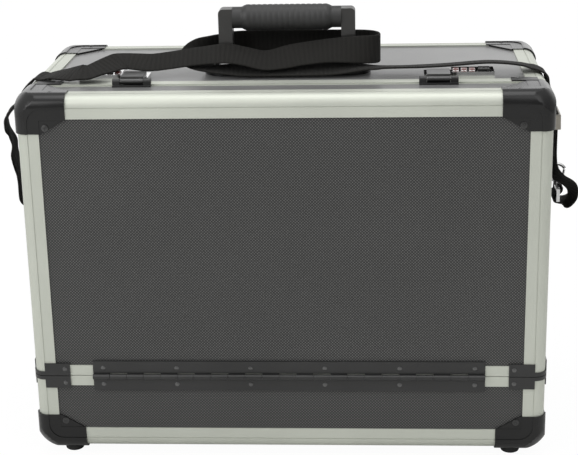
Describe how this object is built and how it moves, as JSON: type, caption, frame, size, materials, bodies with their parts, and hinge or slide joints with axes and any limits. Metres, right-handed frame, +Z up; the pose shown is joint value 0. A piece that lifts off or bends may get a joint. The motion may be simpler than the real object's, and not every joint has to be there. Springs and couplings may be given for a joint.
{
  "type": "tool case",
  "caption": "Upright tool case with a drop-front door, aluminium edge sections, moulded corner caps, combination latches, a folding handle and a shoulder strap.",
  "frame": {"origin": "on the floor, under the middle of the case", "axes": "+X to the right along the width, +Y to the back, +Z up"},
  "size_m": [0.532, 0.2333, 0.398],
  "materials": {
    "laminated_panel": "black embossed laminate over plywood",
    "floor_mat": "matt",
    "aluminium_section": "satin anodised, drawn along its length",
    "seal_rubber": "matt",
    "foot_rubber": "matt",
    "cap_plastic": "gloss black",
    "fastener_steel": "plated",
    "black_metal": "satin black lacquer",
    "pin_steel": "bright",
    "handle_plastic": "satin black",
    "grip_rubber": "matt, ribbed",
    "lock_chrome": "polished",
    "lock_black": "satin black",
    "hasp_metal": "dark nickel",
    "fitting_steel": "nickel plated",
    "strap_webbing": "woven black webbing",
    "slider_plastic": "satin black"
  },
  "bodies": {
    "body": {"back_panel": "laminated_panel", "top_panel": "laminated_panel", "bottom_panel": "laminated_panel", "side_panels": "laminated_panel", "sill_panel": "laminated_panel", "floor_mat": "floor_mat", "cross_edges": "aluminium_section", "depth_edges": "aluminium_section", "rear_upright_edges": "aluminium_section", "sill_upright_edges": "aluminium_section", "body_rims": "aluminium_section", "body_seal": "seal_rubber", "top_rear_caps": "cap_plastic", "bottom_rear_caps": "cap_plastic", "bottom_front_caps": "cap_plastic", "body_cap_screws": "fastener_steel", "feet": "foot_rubber", "body_seam_corners": "black_metal", "body_rivets": "fastener_steel", "hinge_lower_leaf": "black_metal", "hinge_pin": "pin_steel", "handle_base": "handle_plastic", "handle_pins": "pin_steel", "lock_case_left": "lock_chrome", "lock_case_right": "lock_chrome", "dial_axles": "pin_steel", "ring_brackets": "fitting_steel", "shoulder_strap": "strap_webbing", "strap_slider": "slider_plastic"},
    "door": {"door_panel": "laminated_panel", "door_top_panel": "laminated_panel", "door_side_panels": "laminated_panel", "door_edges": "aluminium_section", "door_rims": "aluminium_section", "door_caps": "cap_plastic", "door_cap_screws": "fastener_steel", "door_seam_corners": "black_metal", "door_rivets": "fastener_steel", "hinge_upper_leaf": "black_metal", "hasp_brackets": "hasp_metal", "hasp_pins": "pin_steel"},
    "handle": {"handle": "handle_plastic", "handle_grip": "grip_rubber"},
    "hasp_left": {"hasp_left": "hasp_metal"},
    "lock_button_left": {"lock_button_left": "lock_black"},
    "dial_left_1": {"dial_left_1": "lock_black"},
    "dial_left_2": {"dial_left_2": "lock_black"},
    "dial_left_3": {"dial_left_3": "lock_black"},
    "ring_left": {"ring_left": "fitting_steel"},
    "snap_hook_left": {"snap_hook_left": "fitting_steel"},
    "hook_gate_left": {"hook_gate_left": "fitting_steel"},
    "hasp_right": {"hasp_right": "hasp_metal"},
    "lock_button_right": {"lock_button_right": "lock_black"},
    "dial_right_1": {"dial_right_1": "lock_black"},
    "dial_right_2": {"dial_right_2": "lock_black"},
    "dial_right_3": {"dial_right_3": "lock_black"},
    "ring_right": {"ring_right": "fitting_steel"},
    "snap_hook_right": {"snap_hook_right": "fitting_steel"},
    "hook_gate_right": {"hook_gate_right": "fitting_steel"}
  },
  "joints": [
    {"name": "door_hinge", "type": "hinge", "parent": "body", "child": "door", "pos_m": [0, -0.116, 0.08], "axis": [1, 0, 0], "range_deg": [0, 107]},
    {"name": "handle_fold", "type": "hinge", "parent": "body", "child": "handle", "pos_m": [0, -0.014, 0.352], "axis": [-1, 0, 0], "range_deg": [0, 92], "deforming": ["shoulder_strap"]},
    {"name": "hasp_left_lift", "type": "hinge", "parent": "door", "child": "hasp_left", "pos_m": [-0.134, -0.07, 0.3412], "axis": [1, 0, 0], "range_deg": [0, 110]},
    {"name": "button_left_slide", "type": "slide", "parent": "body", "child": "lock_button_left", "axis": [-1, 0, 0], "range_m": [0, 0.0035], "stiffness_N_per_m": 120},
    {"name": "dial_left_1_turn", "type": "hinge", "parent": "body", "child": "dial_left_1", "pos_m": [-0.1496, -0.047, 0.3417], "axis": [-1, 0, 0], "continuous": true},
    {"name": "dial_left_2_turn", "type": "hinge", "parent": "body", "child": "dial_left_2", "pos_m": [-0.1567, -0.047, 0.3417], "axis": [-1, 0, 0], "continuous": true},
    {"name": "dial_left_3_turn", "type": "hinge", "parent": "body", "child": "dial_left_3", "pos_m": [-0.1638, -0.047, 0.3417], "axis": [-1, 0, 0], "continuous": true},
    {"name": "ring_left_swing", "type": "hinge", "parent": "body", "child": "ring_left", "pos_m": [-0.2334, 0.015, 0.252], "axis": [0, 1, 0], "range_deg": [0, 60], "deforming": ["shoulder_strap"]},
    {"name": "snap_hook_left_swing", "type": "hinge", "parent": "ring_left", "child": "snap_hook_left", "pos_m": [-0.2486, 0.015, 0.2368], "axis": [0, 1, 0], "range_deg": [-20, 60], "deforming": ["shoulder_strap"]},
    {"name": "hook_gate_left_push", "type": "hinge", "parent": "snap_hook_left", "child": "hook_gate_left", "pos_m": [-0.25374, 0.015, 0.22607], "axis": [0, 1, 0], "range_deg": [0, 20], "stiffness_Nm_per_rad": 0.01},
    {"name": "hasp_right_lift", "type": "hinge", "parent": "door", "child": "hasp_right", "pos_m": [0.134, -0.07, 0.3412], "axis": [1, 0, 0], "range_deg": [0, 110]},
    {"name": "button_right_slide", "type": "slide", "parent": "body", "child": "lock_button_right", "axis": [1, 0, 0], "range_m": [0, 0.0035], "stiffness_N_per_m": 120},
    {"name": "dial_right_1_turn", "type": "hinge", "parent": "body", "child": "dial_right_1", "pos_m": [0.1496, -0.047, 0.3417], "axis": [1, 0, 0], "continuous": true},
    {"name": "dial_right_2_turn", "type": "hinge", "parent": "body", "child": "dial_right_2", "pos_m": [0.1567, -0.047, 0.3417], "axis": [1, 0, 0], "continuous": true},
    {"name": "dial_right_3_turn", "type": "hinge", "parent": "body", "child": "dial_right_3", "pos_m": [0.1638, -0.047, 0.3417], "axis": [1, 0, 0], "continuous": true},
    {"name": "ring_right_swing", "type": "hinge", "parent": "body", "child": "ring_right", "pos_m": [0.2334, 0.015, 0.252], "axis": [0, -1, 0], "range_deg": [0, 60], "deforming": ["shoulder_strap"]},
    {"name": "snap_hook_right_swing", "type": "hinge", "parent": "ring_right", "child": "snap_hook_right", "pos_m": [0.2486, 0.015, 0.2368], "axis": [0, -1, 0], "range_deg": [-20, 60], "deforming": ["shoulder_strap"]},
    {"name": "hook_gate_right_push", "type": "hinge", "parent": "snap_hook_right", "child": "hook_gate_right", "pos_m": [0.25374, 0.015, 0.22607], "axis": [0, -1, 0], "range_deg": [0, 20], "stiffness_Nm_per_rad": 0.01}
  ]
}
